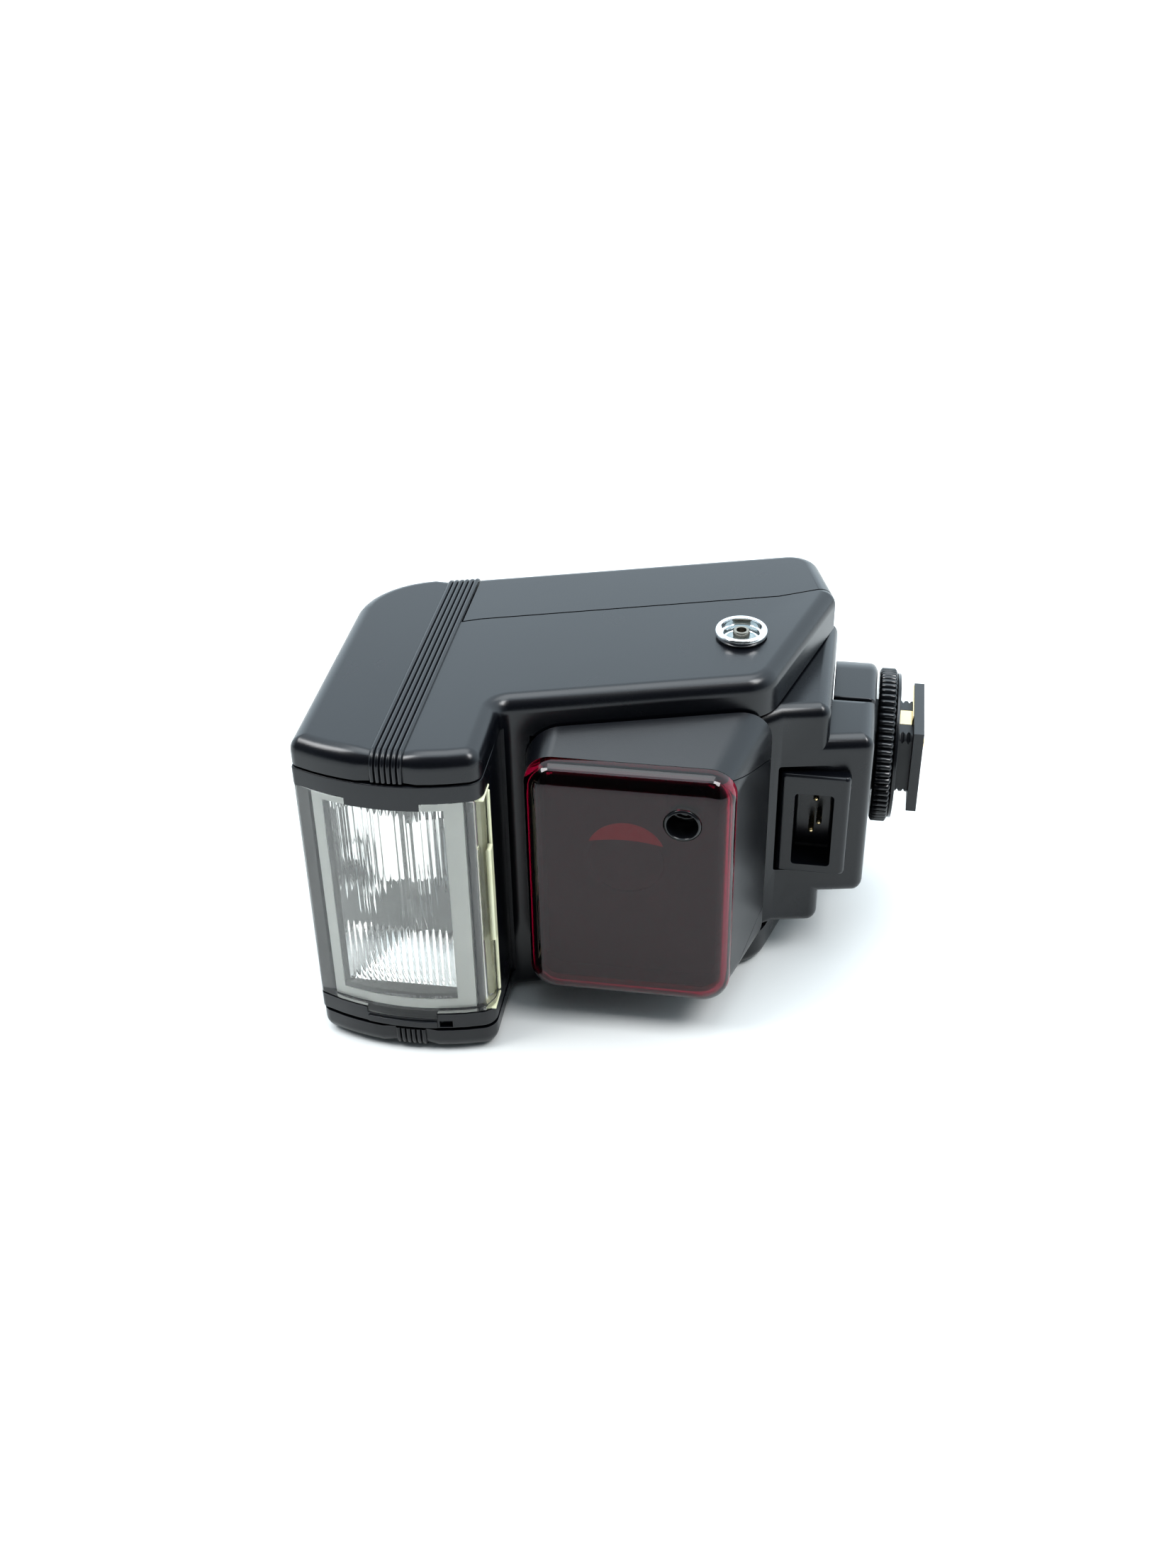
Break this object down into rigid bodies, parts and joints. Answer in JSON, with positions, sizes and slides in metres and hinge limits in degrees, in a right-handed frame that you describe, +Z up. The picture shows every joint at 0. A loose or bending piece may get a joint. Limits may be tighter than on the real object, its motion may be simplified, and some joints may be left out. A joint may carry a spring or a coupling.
{
  "type": "speedlight flash",
  "caption": "Compact camera speedlight: a tilting, zooming flash head on a battery body, above a fixed base with a focus-assist lamp, sockets and a hot-shoe foot with a lock ring.",
  "frame": {"origin": "centre of the underside of the hot-shoe foot", "axes": "+Z up, -Y towards the subject (the front), +X towards the side with the sync socket"},
  "size_m": [0.0693, 0.0846, 0.1104],
  "materials": {
    "black_shell": "satin black moulding with a fine texture",
    "grey_plastic": "dark grey moulding",
    "steel": "bright steel",
    "cell_jacket": "printed shrink sleeve without print",
    "capacitor_sleeve": "dark blue shrink sleeve",
    "circuit_board": "solder mask",
    "mirror_metal": "polished sheet",
    "clear_glass": "clear",
    "clear_plastic": "clear, slightly yellowed",
    "white_silicone": "matt",
    "copper_winding": "lacquered winding",
    "silver_plastic": "satin",
    "red_plastic": "clear red tint",
    "amber_plastic": "translucent amber",
    "chrome": "polished",
    "blue_insulator": "pale blue",
    "dark_red_window": "dark red filter, polished",
    "brass": "gold flash",
    "foot_plastic": "dark grey, satin",
    "gloss_black": "gloss black, knurled edge"
  },
  "bodies": {
    "base": {"hub_housing": "black_shell", "base_rear_cover": "black_shell", "af_housing": "black_shell", "af_lower_cover": "black_shell", "red_window": "dark_red_window", "sensor_barrel": "gloss_black", "sensor_lens": "clear_glass", "af_mask": "grey_plastic", "af_lens": "red_plastic", "af_lamp": "red_plastic", "af_board": "circuit_board", "socket_bezel": "black_shell", "socket_pins": "brass", "hinge_tube": "steel", "detent_disc": "steel", "shoe_foot": "foot_plastic", "foot_screws": "steel", "ground_spring": "brass", "contact_springs": "steel"},
    "tilt_body": {"main_shell": "black_shell", "rear_cover": "black_shell", "tilt_chassis": "grey_plastic", "battery_door_pin": "steel", "battery_cells": "cell_jacket", "battery_tray": "grey_plastic", "battery_contacts": "steel", "main_capacitor": "capacitor_sleeve", "power_board": "circuit_board", "flash_reflector": "mirror_metal", "flash_tube": "clear_glass", "tube_end_caps": "white_silicone", "reflector_bracket": "grey_plastic", "trigger_coil": "copper_winding", "control_panel": "grey_plastic", "ready_lamp": "amber_plastic", "sync_ring": "chrome", "sync_insulator": "blue_insulator", "sync_pin": "chrome", "detent_spring": "steel", "cover_screws": "steel"},
    "zoom_head": {"carriage_frame": "black_shell", "clear_cover": "clear_plastic", "window_frame": "silver_plastic", "front_lens": "clear_plastic"},
    "battery_door": {"battery_door": "black_shell"},
    "power_switch": {"power_switch": "silver_plastic"},
    "mode_slider": {"mode_slider": "grey_plastic"},
    "film_speed_slider": {"film_speed_slider": "grey_plastic"},
    "test_button": {"test_button": "red_plastic"},
    "foot_contacts": {"contact_pins": "brass"},
    "clamp_washer": {"clamp_washer": "gloss_black"},
    "lock_ring": {"lock_ring": "gloss_black"}
  },
  "joints": [
    {"name": "tilt", "type": "hinge", "parent": "base", "child": "tilt_body", "pos_m": [0, 0, 0.033], "axis": [-1, 0, 0], "range_deg": [0, 90]},
    {"name": "zoom_slide", "type": "slide", "parent": "tilt_body", "child": "zoom_head", "axis": [0, -1, 0], "range_m": [0, 0.008]},
    {"name": "battery_door_hinge", "type": "hinge", "parent": "tilt_body", "child": "battery_door", "pos_m": [0, 0.01225, 0.05027], "axis": [-1, 0, 0], "range_deg": [0, 90]},
    {"name": "power_switch_slide", "type": "slide", "parent": "tilt_body", "child": "power_switch", "axis": [-1, 0, 0], "range_m": [0, 0.0045]},
    {"name": "mode_slide", "type": "slide", "parent": "tilt_body", "child": "mode_slider", "axis": [-1, 0, 0], "range_m": [0, 0.0045]},
    {"name": "film_speed_slide", "type": "slide", "parent": "tilt_body", "child": "film_speed_slider", "axis": [-1, 0, 0], "range_m": [0, 0.0085]},
    {"name": "test_button_press", "type": "slide", "parent": "tilt_body", "child": "test_button", "axis": [0, -0.9641, -0.2656], "range_m": [0, 0.0008], "stiffness_N_per_m": 400, "springref_m": -0.0005},
    {"name": "contact_press", "type": "slide", "parent": "base", "child": "foot_contacts", "axis": [0, 0, 1], "range_m": [0, 0.0005], "stiffness_N_per_m": 400, "springref_m": -0.0005, "deforming": ["contact_springs"]},
    {"name": "washer_slide", "type": "slide", "parent": "base", "child": "clamp_washer", "axis": [0, 0, -1], "range_m": [0, 0.00241]},
    {"name": "ring_turn", "type": "hinge", "parent": "clamp_washer", "child": "lock_ring", "pos_m": [0, 0, 0.0057], "axis": [0, 0, -1], "range_deg": [0, 720]}
  ],
  "couplings": [
    {"joint": "washer_slide", "follows": "ring_turn", "m_per_rad": 0.00019099}
  ]
}
